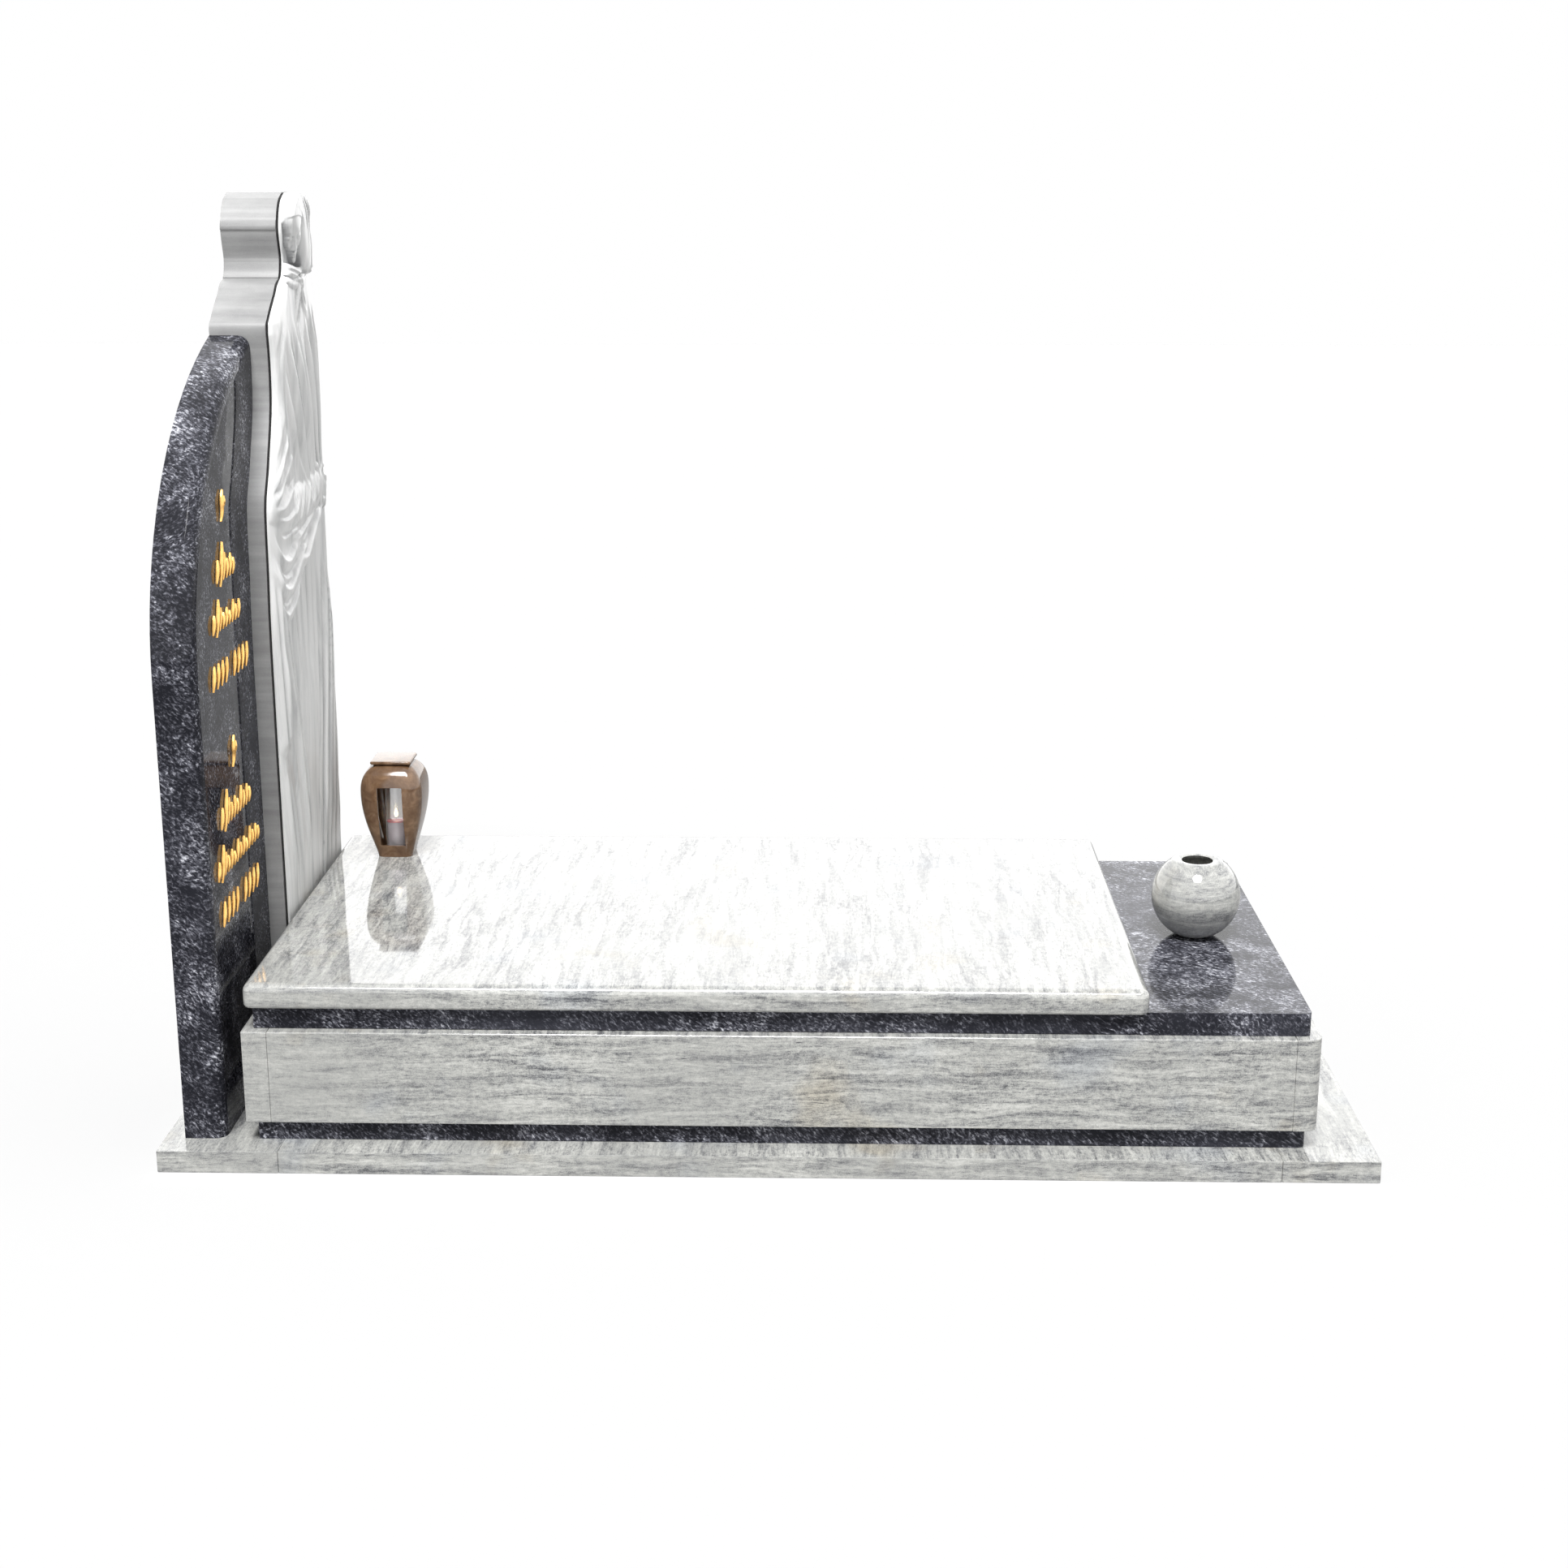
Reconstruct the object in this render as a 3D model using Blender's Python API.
"""Granite grave surround with a headstone that carries a carved figure.

Metres, +Z up. The grave runs along X with its head end at -X, and +Y is the
side away from the inscription. The origin is under the middle of the base.
"""
import math

import bmesh
import bpy
import numpy as np

# Fits between pieces
SEAT = 0.0003          # gap left between two pieces that touch

# Base frame that lies on the ground
BASE_LENGTH = 2.20
BASE_WIDTH = 1.046
BASE_THICK = 0.041
BASE_HEAD_PIECE = 0.220
BASE_FOOT_PIECE = 0.175
BASE_SIDE_PIECE = 0.215

# Kerb of upright boards, on a lower dark plinth
KERB_STONE_GAP = 0.0114
KERB_FOOT_MARGIN = 0.107
KERB_SIDE_MARGIN = 0.041
KERB_HEIGHT = 0.175
KERB_BOARD = 0.046
KERB_CORNER = 0.022
PLINTH_HEIGHT = 0.039
PLINTH_INSET = 0.018
PLINTH_WIDTH = 0.110
PLINTH_CORNER = 0.014

# Dark band, foot slab and cover slab on the kerb
BAND_INSET = 0.019
BAND_HEIGHT = 0.043
BAND_WIDTH = 0.120
FOOT_SLAB_LENGTH = 0.306
FOOT_SLAB_CORNER = 0.012
COVER_FOOT_LAP = 0.015
COVER_THICK = 0.046
COVER_HEAD_SETBACK = 0.005
COVER_CORNER = 0.018
COVER_TOP_ROUND = 0.016
COVER_BOTTOM_ROUND = 0.006

# Headstone: dark wing slab on the near side
STONE_BACK_MARGIN = 0.038
WING_SIDE_MARGIN = 0.058
WING_THICK = 0.075
WING_STRAIGHT = 0.8935
WING_ARCH_FAR_MARGIN = 0.156
WING_ARCH_RISE = 0.602
WING_FRONT_ROUND = 0.021
WING_JOINT = 0.0008

# Headstone: pale grey backing and the white figure in relief on it
BACKING_THICK = 0.1066
FIGURE_FAR_MARGIN = 0.098
FIGURE_WIDTH = 0.490
FIGURE_HEIGHT = 1.412
FIGURE_DEPTH = 0.036
FIGURE_LIP = 0.0035
FIGURE_GROOVE = 0.0040
FIGURE_BORDER = 0.0010    # least that the carving stands in front of its groove
FIGURE_COVER_GAP = 0.0045

# Gilded rows of strokes on the wing
STROKE_THICK = 0.009
STROKE_WIDTH = 0.0085
STROKE_BAR = 0.0060
STROKE_DROP = 0.009
STROKE_LEAN = 0.30
STROKE_TALL_EVERY = 4
# Name, middle and width as shares of the wing's face, height, tallness, strokes
STROKE_ROWS = [("strokes_upper_mark", 0.573, 0.100, 1.172, 0.046, 2),
               ("strokes_upper_1", 0.570, 0.300, 1.070, 0.068, 5),
               ("strokes_upper_2", 0.558, 0.500, 0.980, 0.056, 9),
               ("strokes_upper_3", 0.555, 0.613, 0.879, 0.040, 11),
               ("strokes_lower_mark", 0.508, 0.100, 0.724, 0.046, 2),
               ("strokes_lower_1", 0.500, 0.525, 0.632, 0.064, 9),
               ("strokes_lower_2", 0.498, 0.725, 0.543, 0.056, 13),
               ("strokes_lower_3", 0.490, 0.638, 0.451, 0.040, 11)]

# Lantern on the cover slab
LANTERN_FROM_COVER_END = 0.130
LANTERN_FROM_FAR_EDGE = 0.140
LANTERN_BASE = 0.036
LANTERN_BELLY = 0.065
LANTERN_BELLY_AT = 0.70
LANTERN_NECK = 0.034
LANTERN_HEIGHT = 0.202
LANTERN_WALL = 0.005
LANTERN_FLOOR = 0.008
LANTERN_CORNER = 0.40
WINDOW_WIDTH = 0.052
WINDOW_SILL = 0.026
WINDOW_HEIGHT = 0.132
LID_SIZE = 0.085
LID_THICK = 0.007
LID_BEVEL = 0.0025
CANDLE_RADIUS = 0.0225
CANDLE_WALL = 0.002
CANDLE_HEIGHT = 0.150
CANDLE_SIDES = 16
WAX_HEIGHT = 0.070

# Round vase on the foot slab
VASE_RADIUS = 0.0865
VASE_WALL = 0.012
VASE_FOOT_RADIUS = 0.030
VASE_MOUTH_RADIUS = 0.046
VASE_OFF_CENTRE = -0.026
VASE_SIDES = 20

# Heights of the seats, worked out upwards from the ground
PLINTH_Z = BASE_THICK + SEAT
KERB_Z = PLINTH_Z + PLINTH_HEIGHT + SEAT
BAND_Z = KERB_Z + KERB_HEIGHT + SEAT
COVER_Z = BAND_Z + BAND_HEIGHT + SEAT
COVER_TOP = COVER_Z + COVER_THICK

# Places along the grave
HEAD_END = -BASE_LENGTH / 2
FOOT_END = BASE_LENGTH / 2
NEAR_SIDE = -BASE_WIDTH / 2
FAR_SIDE = BASE_WIDTH / 2
STONE_BACK = HEAD_END + STONE_BACK_MARGIN
WING_FRONT = STONE_BACK + WING_THICK
BACKING_FRONT = STONE_BACK + BACKING_THICK
KERB_X0 = BACKING_FRONT + KERB_STONE_GAP
KERB_X1 = FOOT_END - KERB_FOOT_MARGIN
KERB_Y0 = NEAR_SIDE + KERB_SIDE_MARGIN
KERB_Y1 = FAR_SIDE - KERB_SIDE_MARGIN
BAND_X0 = KERB_X0 + BAND_INSET
BAND_X1 = KERB_X1 - BAND_INSET
FOOT_SLAB_X0 = BAND_X1 - FOOT_SLAB_LENGTH
COVER_X0 = KERB_X0 + COVER_HEAD_SETBACK
COVER_X1 = FOOT_SLAB_X0 + COVER_FOOT_LAP
WING_NEAR = NEAR_SIDE + WING_SIDE_MARGIN
WING_ARCH_REACH = FAR_SIDE - WING_ARCH_FAR_MARGIN - WING_NEAR
FIGURE_NEAR = FAR_SIDE - FIGURE_FAR_MARGIN - FIGURE_WIDTH
FIGURE_FOOT = COVER_Z
FIGURE_FOOT_DEPTH = COVER_X0 - BACKING_FRONT - FIGURE_COVER_GAP

# Height of the carving counted in its own widths, and the solid's rows and columns
TALL = 2.88
NECK_SHARE = 0.86
CROWN_SHARE = 0.9975
BODY_ROWS = 58
HEAD_ROWS = 26
FIGURE_COLUMNS = 27

COLOURS = {
    "pale_granite": ((0.62, 0.62, 0.59), 0.28, 0.0),
    "dark_granite": ((0.030, 0.032, 0.045), 0.15, 0.0),
    "grey_backing": ((0.32, 0.32, 0.32), 0.45, 0.0),
    "white_marble": ((0.78, 0.78, 0.77), 0.40, 0.0),
    "gilding": ((0.83, 0.55, 0.19), 0.30, 1.0),
    "bronze_glaze": ((0.16, 0.085, 0.045), 0.20, 0.0),
    "clear_glass": ((0.90, 0.92, 0.92), 0.05, 0.0),
    "wax": ((0.20, 0.03, 0.03), 0.35, 0.0),
}


def clear_scene():
    for item in list(bpy.data.objects):
        bpy.data.objects.remove(item, do_unlink=True)


def material(slot):
    found = bpy.data.materials.get(slot)
    if found:
        return found
    colour, roughness, metallic = COLOURS[slot]
    made = bpy.data.materials.new(slot)
    made.use_nodes = True
    shader = made.node_tree.nodes["Principled BSDF"]
    shader.inputs["Base Color"].default_value = (*colour, 1.0)
    shader.inputs["Roughness"].default_value = roughness
    shader.inputs["Metallic"].default_value = metallic
    if slot == "clear_glass":
        shader.inputs["Transmission Weight"].default_value = 1.0
    return made


def solid(name, points, faces, slot, smooth=False):
    """One closed mesh object, with its faces turned outwards."""
    mesh = bpy.data.meshes.new(name)
    mesh.from_pydata([tuple(float(c) for c in p) for p in points], [], faces)
    bm = bmesh.new()
    bm.from_mesh(mesh)
    bmesh.ops.recalc_face_normals(bm, faces=bm.faces)
    bm.to_mesh(mesh)
    bm.free()
    item = bpy.data.objects.new(name, mesh)
    bpy.context.collection.objects.link(item)
    mesh.materials.append(material(slot))
    if smooth:
        mesh.shade_smooth()
        mesh.set_sharp_from_angle(angle=math.radians(35))
    return item


def skin(name, rings, slot, smooth=False):
    """Join rings of equal point count into one closed body with flat ends."""
    count = len(rings[0])
    points = [p for ring in rings for p in ring]
    faces = [list(range(count))[::-1]]
    for level in range(len(rings) - 1):
        low = level * count
        high = low + count
        for k in range(count):
            step = (k + 1) % count
            faces.append([low + k, low + step, high + step, high + k])
    faces.append([(len(rings) - 1) * count + k for k in range(count)])
    return solid(name, points, faces, slot, smooth)


def box(name, low, high, slot):
    (x0, y0, z0), (x1, y1, z1) = low, high
    plan = [(x0, y0), (x1, y0), (x1, y1), (x0, y1)]
    return skin(name, [[(x, y, z) for x, y in plan] for z in (z0, z1)], slot)


def rounded_plan(x0, x1, y0, y1, radii, steps=5):
    """Plan outline; radii are near-head, near-foot, far-foot and far-head."""
    corners = [(x0, y0, 1, 1, 180), (x1, y0, -1, 1, 270),
               (x1, y1, -1, -1, 0), (x0, y1, 1, -1, 90)]
    outline = []
    for (cx, cy, dx, dy, start), radius in zip(corners, radii):
        if radius <= 0:
            outline.append((cx, cy))
            continue
        for k in range(steps + 1):
            turn = math.radians(start + 90 * k / steps)
            outline.append((cx + dx * radius + radius * math.cos(turn),
                            cy + dy * radius + radius * math.sin(turn)))
    return outline


def slab(name, span_x, span_y, z0, z1, radii, slot):
    plan = rounded_plan(*span_x, *span_y, radii)
    return skin(name, [[(x, y, z) for x, y in plan] for z in (z0, z1)], slot, True)


def pillow_slab(name, span_x, span_y, z0, z1, corner, top, bottom, slot):
    """Slab with rounded corners and rounded upper and lower edges."""
    levels = [(z0 + bottom - bottom * math.cos(t), bottom - bottom * math.sin(t))
              for t in (0.0, math.pi / 4, math.pi / 2)]
    levels += [(z1 - top + top * math.sin(t), top - top * math.cos(t))
               for t in np.linspace(0, math.pi / 2, 5)]
    rings = []
    for z, inset in levels:
        plan = rounded_plan(span_x[0] + inset, span_x[1] - inset, span_y[0] + inset,
                            span_y[1] - inset, [max(corner - inset, 0.002)] * 4, 4)
        rings.append([(x, y, z) for x, y in plan])
    return skin(name, rings, slot, True)


def build_base():
    inner_x0 = HEAD_END + BASE_HEAD_PIECE
    inner_x1 = FOOT_END - BASE_FOOT_PIECE
    box("base_head", (HEAD_END, NEAR_SIDE, 0), (inner_x0, FAR_SIDE, BASE_THICK), "pale_granite")
    box("base_foot", (inner_x1, NEAR_SIDE, 0), (FOOT_END, FAR_SIDE, BASE_THICK), "pale_granite")
    box("base_side_near", (inner_x0 + SEAT, NEAR_SIDE, 0),
        (inner_x1 - SEAT, NEAR_SIDE + BASE_SIDE_PIECE, BASE_THICK), "pale_granite")
    box("base_side_far", (inner_x0 + SEAT, FAR_SIDE - BASE_SIDE_PIECE, 0),
        (inner_x1 - SEAT, FAR_SIDE, BASE_THICK), "pale_granite")


def build_plinth():
    x0, x1 = KERB_X0 + PLINTH_INSET, KERB_X1 - PLINTH_INSET
    y0, y1 = KERB_Y0 + PLINTH_INSET, KERB_Y1 - PLINTH_INSET
    top = PLINTH_Z + PLINTH_HEIGHT
    slab("plinth_near", (x0, x1), (y0, y0 + PLINTH_WIDTH), PLINTH_Z, top,
         (0, PLINTH_CORNER, 0, 0), "dark_granite")
    slab("plinth_far", (x0, x1), (y1 - PLINTH_WIDTH, y1), PLINTH_Z, top,
         (0, 0, PLINTH_CORNER, 0), "dark_granite")
    low_y, high_y = y0 + PLINTH_WIDTH + SEAT, y1 - PLINTH_WIDTH - SEAT
    box("plinth_head", (x0, low_y, PLINTH_Z), (x0 + PLINTH_WIDTH, high_y, top), "dark_granite")
    box("plinth_foot", (x1 - PLINTH_WIDTH, low_y, PLINTH_Z), (x1, high_y, top), "dark_granite")


def build_kerb():
    top = KERB_Z + KERB_HEIGHT
    box("kerb_head", (KERB_X0, KERB_Y0, KERB_Z), (KERB_X0 + KERB_BOARD, KERB_Y1, top),
        "pale_granite")
    slab("kerb_foot", (KERB_X1 - KERB_BOARD, KERB_X1), (KERB_Y0, KERB_Y1), KERB_Z, top,
         (0, KERB_CORNER, KERB_CORNER, 0), "pale_granite")
    low_x = KERB_X0 + KERB_BOARD + SEAT
    high_x = KERB_X1 - KERB_BOARD - SEAT
    box("kerb_near", (low_x, KERB_Y0, KERB_Z), (high_x, KERB_Y0 + KERB_BOARD, top),
        "pale_granite")
    box("kerb_far", (low_x, KERB_Y1 - KERB_BOARD, KERB_Z), (high_x, KERB_Y1, top),
        "pale_granite")


def build_band():
    y0, y1 = KERB_Y0 + BAND_INSET, KERB_Y1 - BAND_INSET
    top = BAND_Z + BAND_HEIGHT
    slab("foot_slab", (FOOT_SLAB_X0, BAND_X1), (y0, y1), BAND_Z, top,
         (0, FOOT_SLAB_CORNER, FOOT_SLAB_CORNER, 0), "dark_granite")
    end = FOOT_SLAB_X0 - SEAT
    box("band_near", (BAND_X0, y0, BAND_Z), (end, y0 + BAND_WIDTH, top), "dark_granite")
    box("band_far", (BAND_X0, y1 - BAND_WIDTH, BAND_Z), (end, y1, top), "dark_granite")
    box("band_head", (BAND_X0, y0 + BAND_WIDTH + SEAT, BAND_Z),
        (BAND_X0 + BAND_WIDTH, y1 - BAND_WIDTH - SEAT, top), "dark_granite")


def build_cover():
    pillow_slab("cover_slab", (COVER_X0, COVER_X1), (KERB_Y0, KERB_Y1), COVER_Z, COVER_TOP,
                COVER_CORNER, COVER_TOP_ROUND, COVER_BOTTOM_ROUND, "pale_granite")


# The figure's edges as shares: height up the figure, then place across it
NEAR_EDGE = [(-0.20, 0.0), (0.00, 0.002), (0.39, 0.004), (0.50, 0.024), (0.59, 0.040),
             (0.63, 0.102), (0.66, 0.145), (0.72, 0.220), (0.78, 0.238), (0.823, 0.226),
             (0.835, 0.258), (0.85, 0.312), (0.866, 0.382), (0.8785, 0.424), (0.884, 0.472),
             (0.895, 0.498), (0.912, 0.508), (0.930, 0.494), (0.948, 0.484), (0.966, 0.500),
             (0.979, 0.522), (0.990, 0.556), (0.998, 0.618)]
FAR_EDGE = [(-0.20, 1.0), (0.00, 0.998), (0.25, 0.990), (0.45, 1.000), (0.60, 0.992),
            (0.72, 0.998), (0.80, 1.000), (0.845, 0.984), (0.872, 0.940), (0.887, 0.880),
            (0.898, 0.850), (0.915, 0.866), (0.935, 0.876), (0.956, 0.864), (0.976, 0.826),
            (0.990, 0.766), (0.998, 0.714)]


def smooth_edge(controls, steps=3):
    """Points on a smooth curve through the controls, as height and place shares."""
    pts = np.array(controls)
    out = []
    for k in range(1, len(pts) - 2):
        p0, p1, p2, p3 = pts[k - 1:k + 3]
        for t in np.linspace(0, 1, steps, endpoint=False):
            out.append(0.5 * (2 * p1 + (p2 - p0) * t + (2 * p0 - 5 * p1 + 4 * p2 - p3) * t ** 2
                              + (3 * p1 - p0 - 3 * p2 + p3) * t ** 3))
    out.append(pts[-2])
    out.append(pts[-1])
    return np.array(out)


NEAR_CURVE = smooth_edge(NEAR_EDGE)
FAR_CURVE = smooth_edge(FAR_EDGE)


def near_share(height):
    return np.interp(height, NEAR_CURVE[:, 0], NEAR_CURVE[:, 1])


def far_share(height):
    return np.interp(height, FAR_CURVE[:, 0], FAR_CURVE[:, 1])


def figure_y(share):
    return FIGURE_NEAR + share * FIGURE_WIDTH


def figure_z(share):
    return FIGURE_FOOT + share * FIGURE_HEIGHT


def build_backing():
    floor = BASE_THICK + SEAT
    outline = [(figure_y(NEAR_CURVE[0][1]), floor)]
    outline += [(figure_y(a), figure_z(b)) for b, a in NEAR_CURVE]
    outline += [(figure_y(a), figure_z(b)) for b, a in FAR_CURVE[::-1]]
    outline.append((figure_y(FAR_CURVE[0][1]), floor))
    rings = [[(x, y, z) for y, z in outline] for x in (STONE_BACK, BACKING_FRONT)]
    skin("backing_stone", rings, "grey_backing", True)


def arch_height(y):
    """Height of the wing's elliptical top over a place y."""
    share = (WING_NEAR + WING_ARCH_REACH - y) / WING_ARCH_REACH
    return WING_STRAIGHT + WING_ARCH_RISE * math.sqrt(max(0.0, 1 - share * share))


def wing_curve():
    """Near edge and arched top of the wing, from the ground up to the backing."""
    meet = FIGURE_NEAR
    for _ in range(12):
        share = (arch_height(meet) - FIGURE_FOOT) / FIGURE_HEIGHT
        meet = figure_y(float(near_share(share)))
    last = math.acos(1 - (meet - WING_NEAR) / WING_ARCH_REACH)
    points = [(WING_NEAR, BASE_THICK + SEAT)]
    for turn in np.linspace(0, last, 18):
        points.append((WING_NEAR + WING_ARCH_REACH * (1 - math.cos(turn)),
                       WING_STRAIGHT + WING_ARCH_RISE * math.sin(turn)))
    return points


def build_wing():
    edge = wing_curve()
    normals = []
    for k, (y, z) in enumerate(edge):
        before = edge[max(k - 1, 0)]
        after = edge[min(k + 1, len(edge) - 1)]
        dy, dz = after[0] - before[0], after[1] - before[1]
        size = math.hypot(dy, dz)
        normals.append((dz / size, -dy / size))
    normals[0] = (1.0, 0.0)
    top_height = edge[-1][1]
    highest_joint = top_height - WING_FRONT_ROUND - SEAT
    joint = [(figure_y(a) - WING_JOINT, figure_z(b)) for b, a in NEAR_CURVE[::-1]
             if figure_z(b) < highest_joint]
    joint.append((figure_y(NEAR_CURVE[0][1]) - WING_JOINT, BASE_THICK + SEAT))

    def ring(x, inset):
        loop = [(y + n[0] * inset, z + n[1] * inset) for (y, z), n in zip(edge, normals)]
        last_z = top_height - inset
        share = (last_z - FIGURE_FOOT) / FIGURE_HEIGHT
        loop[-1] = (figure_y(float(near_share(share))) - WING_JOINT, last_z)
        return [(x, y, z) for y, z in loop + joint]

    rings = [ring(STONE_BACK, 0.0)]
    for turn in np.linspace(0, math.pi / 2, 5):
        rings.append(ring(WING_FRONT - WING_FRONT_ROUND * (1 - math.sin(turn)),
                          WING_FRONT_ROUND * (1 - math.cos(turn))))
    skin("headstone_wing", rings, "dark_granite", True)


def bump(s, t, centre, radii, height, power=1.0, turn=0.0):
    """Rounded mound with its middle at centre, in widths of the carving."""
    ds, dt = s - centre[0], t - centre[1]
    c, n = math.cos(turn), math.sin(turn)
    reach = ((ds * c + dt * n) / radii[0]) ** 2 + ((dt * c - ds * n) / radii[1]) ** 2
    return height * np.clip(1 - reach, 0, None) ** power


def fold(s, t, route, radius, height, sharp=1.5):
    """Raised fold that follows a route of points and fades at both ends."""
    best = np.zeros_like(s)
    for k in range(len(route) - 1):
        (s0, t0), (s1, t1) = route[k], route[k + 1]
        ds, dt = s1 - s0, t1 - t0
        along = np.clip(((s - s0) * ds + (t - t0) * dt) / (ds * ds + dt * dt), 0, 1)
        reach = np.hypot(s - s0 - along * ds, t - t0 - along * dt) / radius
        best = np.maximum(best, np.clip(1 - reach ** 2, 0, None) ** sharp)
    return height * best


def ease(value, low, high):
    share = np.clip((value - low) / (high - low), 0, 1)
    return share * share * (3 - 2 * share)


def body_form(s, t, across):
    """Broad rounding of the standing body; across runs 0 to 1 between its edges."""
    crown = np.clip(1 - (2 * across - 1) ** 4, 0, None) ** 0.6
    swell = 0.10 + 0.20 * ease(t, 0.15, 0.9) + 0.10 * ease(t, 1.2, 1.7)
    chest = bump(s, t, (0.60, 2.05), (0.36, 0.50), 0.14)
    return crown * swell + chest * crown


def arms(s, t):
    upper = fold(s, t, [(0.33, 2.34), (0.24, 2.10), (0.17, 1.76)], 0.13, 0.22, 0.7)
    fore = fold(s, t, [(0.16, 1.73), (0.42, 1.66), (0.76, 1.70)], 0.085, 0.34, 0.6)
    hand = bump(s, t, (0.82, 1.71), (0.085, 0.055), 0.30, 0.6, 0.2)
    far_upper = fold(s, t, [(0.88, 2.38), (0.92, 2.10), (0.93, 1.84)], 0.075, 0.16, 0.8)
    far_fore = fold(s, t, [(0.93, 1.82), (0.80, 1.76)], 0.06, 0.20, 0.7)
    return np.maximum.reduce([upper, fore, hand, far_upper, far_fore])


CHEST_FOLDS = [[(0.36, 2.40), (0.44, 2.10), (0.56, 1.82)],
               [(0.45, 2.36), (0.54, 2.08), (0.63, 1.82)],
               [(0.57, 2.36), (0.63, 2.10), (0.70, 1.80)],
               [(0.72, 2.40), (0.72, 2.10), (0.77, 1.84)],
               [(0.80, 2.44), (0.81, 2.10), (0.83, 1.88)]]
SWAG_FOLDS = [[(0.07, 1.66), (0.20, 1.47), (0.36, 1.47), (0.50, 1.56), (0.76, 1.62)],
              [(0.06, 1.56), (0.16, 1.38), (0.30, 1.38), (0.46, 1.49), (0.66, 1.56)],
              [(0.12, 1.74), (0.20, 1.62), (0.34, 1.57)]]
LOWER_FOLDS = [[(0.98, 1.52), (0.86, 0.90), (0.62, 0.02)],
               [(0.99, 1.10), (0.90, 0.60), (0.76, 0.02)],
               [(0.86, 1.50), (0.72, 0.85), (0.52, 0.02)],
               [(0.95, 0.60), (0.93, 0.30), (0.90, 0.02)],
               [(0.68, 1.48), (0.60, 0.90), (0.42, 0.02)]]
MANTLE_HEM = [(0.07, 1.40), (0.14, 1.02), (0.22, 0.62), (0.36, 0.04)]


def drapery(s, t):
    total = np.zeros_like(s)
    for route in CHEST_FOLDS:
        total += fold(s, t, route, 0.050, 0.15)
    for route in SWAG_FOLDS:
        total += fold(s, t, route, 0.050, 0.16)
    for route in LOWER_FOLDS:
        total += fold(s, t, route, 0.060, 0.17)
    total += fold(s, t, MANTLE_HEM, 0.040, 0.14)
    hanging = ease(s, 0.30, 0.20) * ease(t, 0.62, 0.80) * ease(t, 1.45, 1.30)
    return total + 0.12 * hanging


def veil_and_head(s, t):
    """Covered head bent towards the inscription, with a scarf knotted below it."""
    skull = bump(s, t, (0.680, 2.735), (0.215, 0.170), 0.62, 0.5)
    face = bump(s, t, (0.600, 2.705), (0.100, 0.125), 0.12, 0.6, -0.15)
    nose = fold(s, t, [(0.592, 2.735), (0.578, 2.690)], 0.026, 0.12)
    brow = fold(s, t, [(0.535, 2.752), (0.600, 2.762), (0.665, 2.748)], 0.026, 0.04)
    veil = np.zeros_like(s)
    for place in (0.725, 0.775, 0.825):
        veil += fold(s, t, [(place - 0.03, 2.87), (place, 2.74), (place - 0.01, 2.60)], 0.026, 0.12)
    border = fold(s, t, [(0.585, 2.86), (0.668, 2.80), (0.692, 2.70), (0.640, 2.60)], 0.028, 0.14)
    scarf = fold(s, t, [(0.50, 2.590), (0.64, 2.550), (0.87, 2.590)], 0.050, 0.34, 0.8)
    knot = bump(s, t, (0.645, 2.545), (0.055, 0.045), 0.22, 0.8)
    ends = fold(s, t, [(0.630, 2.53), (0.585, 2.38)], 0.042, 0.24)
    ends += fold(s, t, [(0.665, 2.53), (0.700, 2.40)], 0.038, 0.20)
    head = skull + face + nose + brow + veil + border
    return np.maximum(head, scarf + knot) + ends * (1 - ease(t, 2.50, 2.56))


def carving(a, b, across):
    """Depth of the relief in front of the backing, in metres."""
    s, t = a, b * TALL
    below_neck = 1 - ease(t, 2.46, 2.60)
    edge = np.clip(np.minimum(across, 1 - across) / 0.10, 0, 1)
    edge = np.sqrt(1 - (1 - edge) ** 2)
    figure = body_form(s, t, across) * below_neck + arms(s, t) * below_neck
    figure += drapery(s, t) * (0.45 + 0.55 * edge) + veil_and_head(s, t)
    depth = 0.20 + 0.80 * edge * figure
    reach = FIGURE_FOOT_DEPTH + (FIGURE_DEPTH - FIGURE_FOOT_DEPTH) * ease(t, 0.10, 0.70)
    return np.maximum(reach * np.minimum(depth, 1.0), FIGURE_GROOVE + FIGURE_BORDER)


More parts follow.
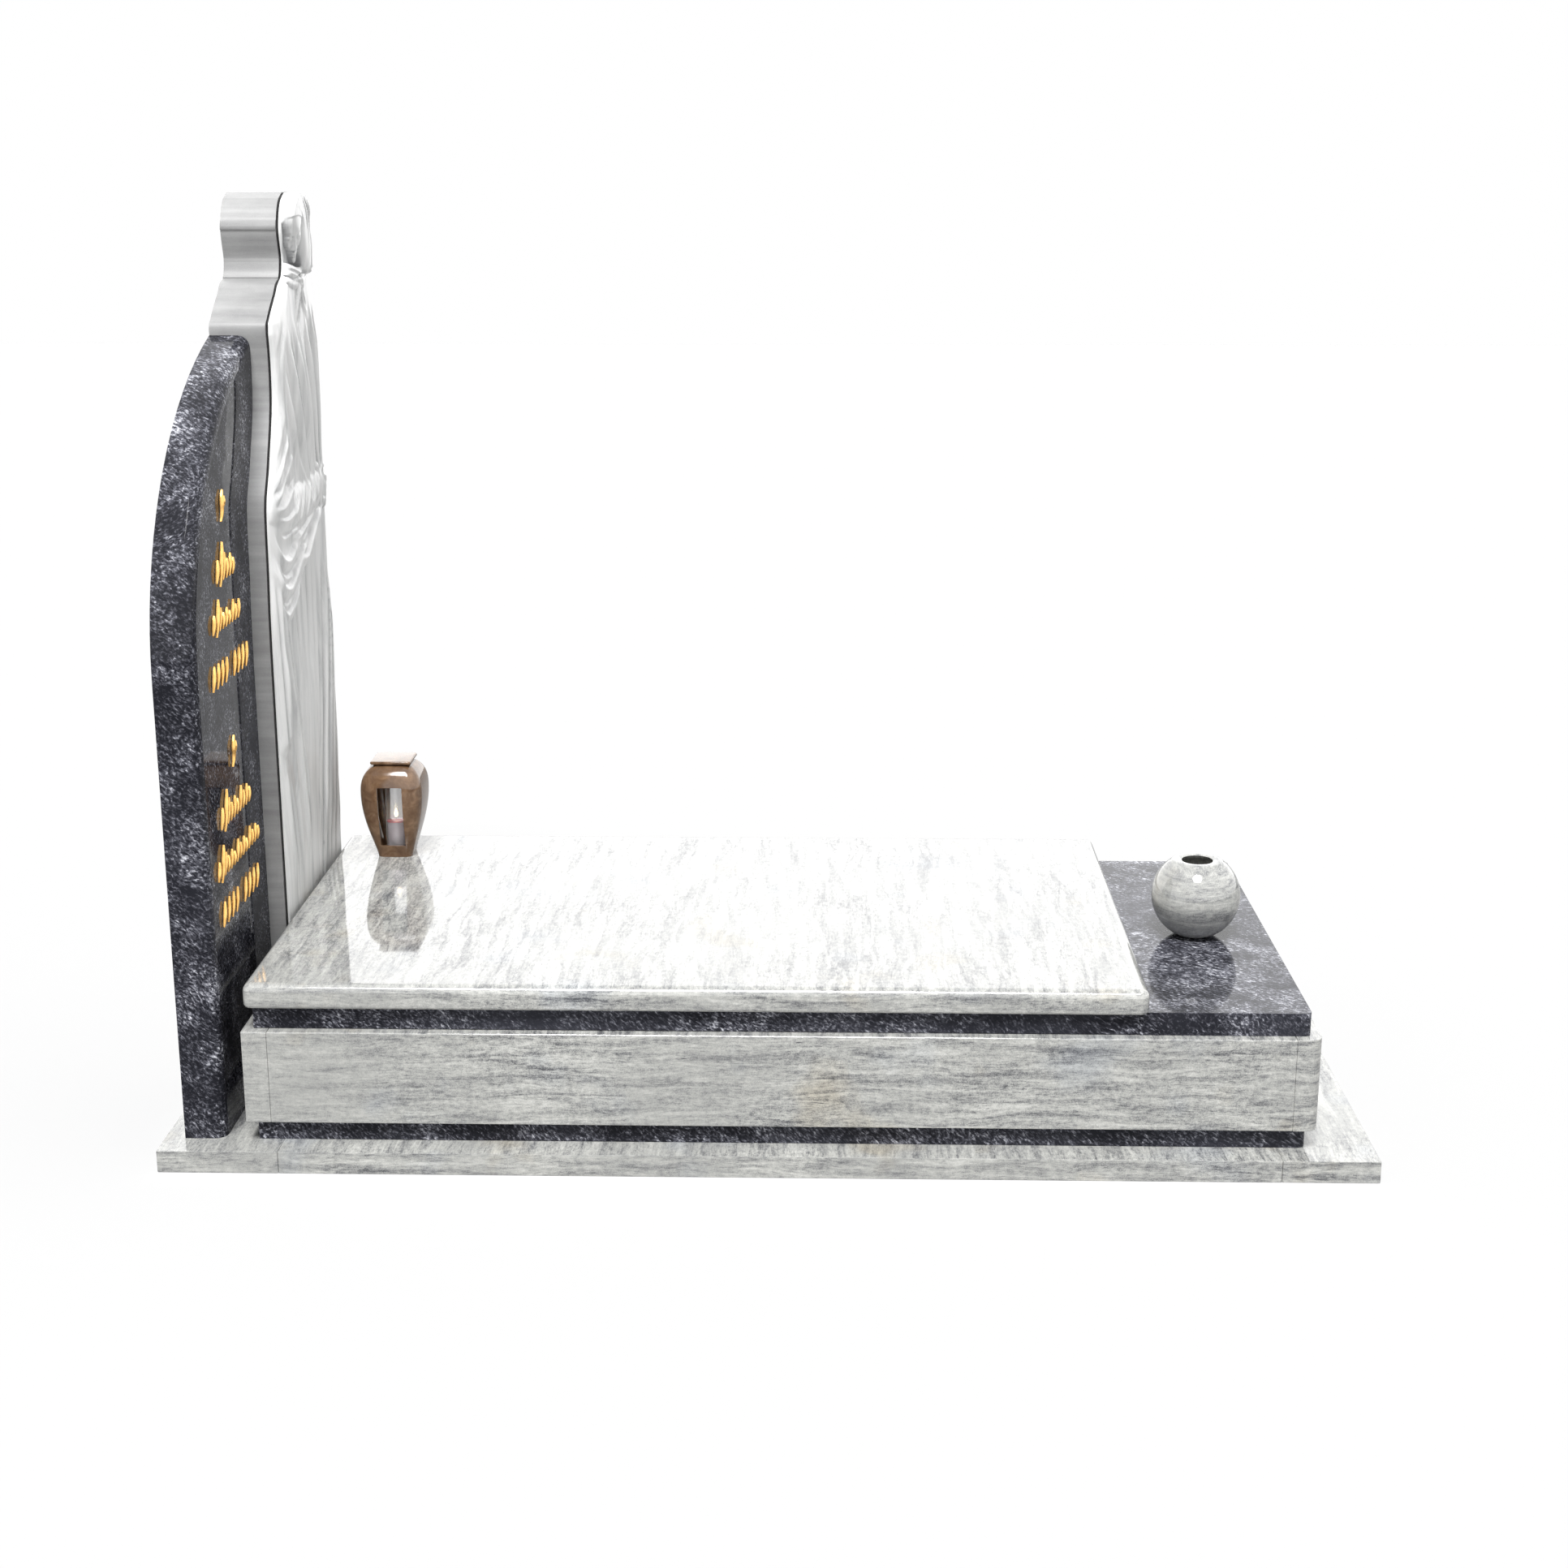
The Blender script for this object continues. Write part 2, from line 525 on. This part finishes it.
def build_figure():
    heights = np.concatenate([np.linspace(0, NECK_SHARE, BODY_ROWS),
                              np.linspace(NECK_SHARE, CROWN_SHARE, HEAD_ROWS + 1)[1:]])
    rows, columns = len(heights), FIGURE_COLUMNS
    front, lip = [], []
    even = np.linspace(0, 1, columns)
    spread = 0.45 * even + 0.55 * (0.5 - 0.5 * np.cos(math.pi * even))
    for b in heights:
        low = near_share(b) + FIGURE_LIP / FIGURE_WIDTH
        high = far_share(b) - FIGURE_LIP / FIGURE_WIDTH
        a = low + (high - low) * spread
        depth = carving(a, np.full_like(a, b), spread)
        z = figure_z(b)
        front.append([(BACKING_FRONT + d, figure_y(p), z) for d, p in zip(depth, a)])
        lip.append((low, high, z))
    points = [p for row in front for p in row]
    faces = []
    for r in range(rows - 1):
        for c in range(columns - 1):
            k = r * columns + c
            faces.append([k, k + 1, k + columns + 1, k + columns])
    border = [c for c in range(columns)]
    border += [r * columns + columns - 1 for r in range(1, rows)]
    border += [(rows - 1) * columns + c for c in range(columns - 2, -1, -1)]
    border += [r * columns for r in range(rows - 2, 0, -1)]
    z_low, z_high = lip[0][2], lip[-1][2]
    tiers = [(FIGURE_GROOVE, 0.0), (FIGURE_GROOVE, FIGURE_GROOVE), (SEAT, FIGURE_GROOVE)]
    previous = border
    for lift, pull in tiers:
        ring = []
        for k in border:
            _, y, z = points[k]
            row = k // columns
            low, high, _ = lip[row]
            share = (y - figure_y(low)) / (figure_y(high) - figure_y(low))
            y_in = y + pull * (1 - 2 * share)
            z_in = z
            if pull:
                z_in = min(max(z, z_low + FIGURE_GROOVE), z_high - FIGURE_GROOVE)
            ring.append(len(points))
            points.append((BACKING_FRONT + lift, y_in, z_in))
        for k in range(len(border)):
            step = (k + 1) % len(border)
            faces.append([previous[k], previous[step], ring[step], ring[k]])
        previous = ring
    faces.append(previous)
    solid("relief_figure", points, faces, "white_marble", True)


def build_strokes():
    """Raised gilded rows: a bar with leaning strokes, which are no letters."""
    face = FIGURE_NEAR - WING_NEAR
    for name, middle, width_share, height, tall, count in STROKE_ROWS:
        width = width_share * face
        start = WING_NEAR + middle * face - width / 2
        low = height - tall / 2
        pitch = (width - STROKE_WIDTH) / max(count - 1, 1)
        upper, lower = [], []
        for k in range(count):
            y = start + k * pitch
            rise = tall * (1.0 if k % STROKE_TALL_EVERY == 0 else 0.62) - STROKE_BAR
            lean = STROKE_LEAN * rise
            base = low + STROKE_BAR
            upper += [(y, base), (y + lean, base + rise), (y + lean + STROKE_WIDTH, base + rise),
                      (y + STROKE_WIDTH, base)]
            if k % STROKE_TALL_EVERY == 0:
                drop = STROKE_DROP
                lower += [(y, low), (y - STROKE_LEAN * drop, low - drop),
                          (y - STROKE_LEAN * drop + STROKE_WIDTH, low - drop),
                          (y + STROKE_WIDTH, low)]
        if lower[-1][0] < start + width - STROKE_WIDTH / 2:
            lower.append((start + width, low))
        outline = upper + lower[::-1]
        faces_x = (WING_FRONT + SEAT, WING_FRONT + STROKE_THICK)
        skin(name, [[(x, y, z) for y, z in outline] for x in faces_x], "gilding")


def square_ring(cx, cy, half, z, corner_share=LANTERN_CORNER):
    corner = half * corner_share
    plan = rounded_plan(cx - half, cx + half, cy - half, cy + half, [corner] * 4, 3)
    return [(x, y, z) for x, y in plan]


def lantern_half(share):
    """Half width of the lantern at a share of its height: a swelling vase shape."""
    belly = LANTERN_BELLY - LANTERN_BASE
    if share < LANTERN_BELLY_AT:
        return LANTERN_BASE + belly * math.sin(math.pi / 2 * share / LANTERN_BELLY_AT) ** 1.15
    drop = (share - LANTERN_BELLY_AT) / (1 - LANTERN_BELLY_AT)
    return LANTERN_NECK + (LANTERN_BELLY - LANTERN_NECK) * max(0.0, 1 - drop ** 2.6) ** 0.8


def round_rings(cx, cy, profile, sides):
    turns = [2 * math.pi * k / sides for k in range(sides)]
    return [[(cx + r * math.cos(t), cy + r * math.sin(t), z) for t in turns]
            for r, z in profile]


def build_lantern():
    cx = COVER_X0 + LANTERN_FROM_COVER_END
    cy = KERB_Y1 - LANTERN_FROM_FAR_EDGE
    seat = COVER_TOP + SEAT
    shares = [0.0, 0.06, 0.18, 0.33, 0.50, 0.64, 0.76, 0.86, 0.93, 0.97, 1.0]
    rings = [square_ring(cx, cy, lantern_half(s), seat + s * LANTERN_HEIGHT) for s in shares]
    inner = [s for s in shares if s * LANTERN_HEIGHT > LANTERN_FLOOR]
    for s in inner[::-1]:
        rings.append(square_ring(cx, cy, lantern_half(s) - LANTERN_WALL,
                                 seat + s * LANTERN_HEIGHT))
    floor_half = lantern_half(LANTERN_FLOOR / LANTERN_HEIGHT) - LANTERN_WALL
    rings.append(square_ring(cx, cy, floor_half, seat + LANTERN_FLOOR))
    body = skin("lantern_body", rings, "bronze_glaze", True)
    reach = LANTERN_BELLY * 1.5
    cutter = box("window_cutter", (cx - WINDOW_WIDTH / 2, cy - reach, seat + WINDOW_SILL),
                 (cx + WINDOW_WIDTH / 2, cy + reach, seat + WINDOW_SILL + WINDOW_HEIGHT),
                 "bronze_glaze")
    cutter.hide_render = True
    cutter.display_type = "WIRE"
    cut = body.modifiers.new("windows", "BOOLEAN")
    cut.object = cutter
    cut.operation = "DIFFERENCE"

    lid_z = seat + LANTERN_HEIGHT + SEAT
    half = LID_SIZE / 2
    levels = [(half - LID_BEVEL, lid_z), (half, lid_z + LID_BEVEL),
              (half, lid_z + LID_THICK - LID_BEVEL), (half - LID_BEVEL, lid_z + LID_THICK)]
    skin("lantern_lid", [square_ring(cx, cy, w, z, 0.12) for w, z in levels], "bronze_glaze")

    foot = seat + LANTERN_FLOOR + SEAT
    bore = CANDLE_RADIUS - CANDLE_WALL
    glass = [(CANDLE_RADIUS, foot), (CANDLE_RADIUS, foot + CANDLE_HEIGHT),
             (bore, foot + CANDLE_HEIGHT), (bore, foot + CANDLE_WALL)]
    skin("candle_glass", round_rings(cx, cy, glass, CANDLE_SIDES), "clear_glass", True)
    wax_foot = foot + CANDLE_WALL + SEAT
    wax = [(bore - 2 * SEAT, wax_foot), (bore - 2 * SEAT, wax_foot + WAX_HEIGHT)]
    skin("candle_wax", round_rings(cx, cy, wax, CANDLE_SIDES), "wax", True)


def build_vase():
    """Hollow stone ball with a flat foot and an open mouth."""
    cx = (COVER_X1 + BAND_X1) / 2
    cy = VASE_OFF_CENTRE
    seat = BAND_Z + BAND_HEIGHT + SEAT
    centre = seat + math.sqrt(VASE_RADIUS ** 2 - VASE_FOOT_RADIUS ** 2)
    bore = VASE_MOUTH_RADIUS - VASE_WALL
    hollow = VASE_RADIUS - VASE_WALL
    top = centre + math.sqrt(VASE_RADIUS ** 2 - VASE_MOUTH_RADIUS ** 2)
    start = -math.acos(VASE_FOOT_RADIUS / VASE_RADIUS)
    end = math.acos(VASE_MOUTH_RADIUS / VASE_RADIUS)
    outer = [(VASE_RADIUS * math.cos(t), centre + VASE_RADIUS * math.sin(t))
             for t in np.linspace(start, end, 11)]
    start = math.acos(bore / hollow)
    end = -math.acos(VASE_FOOT_RADIUS / 2 / hollow)
    inner = [(hollow * math.cos(t), centre + hollow * math.sin(t))
             for t in np.linspace(start, end, 8)]
    profile = outer + [(bore, top)] + inner
    skin("vase", round_rings(cx, cy, profile, VASE_SIDES), "pale_granite", True)


if __name__ == "__main__":
    clear_scene()
    build_base()
    build_plinth()
    build_kerb()
    build_band()
    build_cover()
    build_backing()
    build_wing()
    build_figure()
    build_strokes()
    build_lantern()
    build_vase()
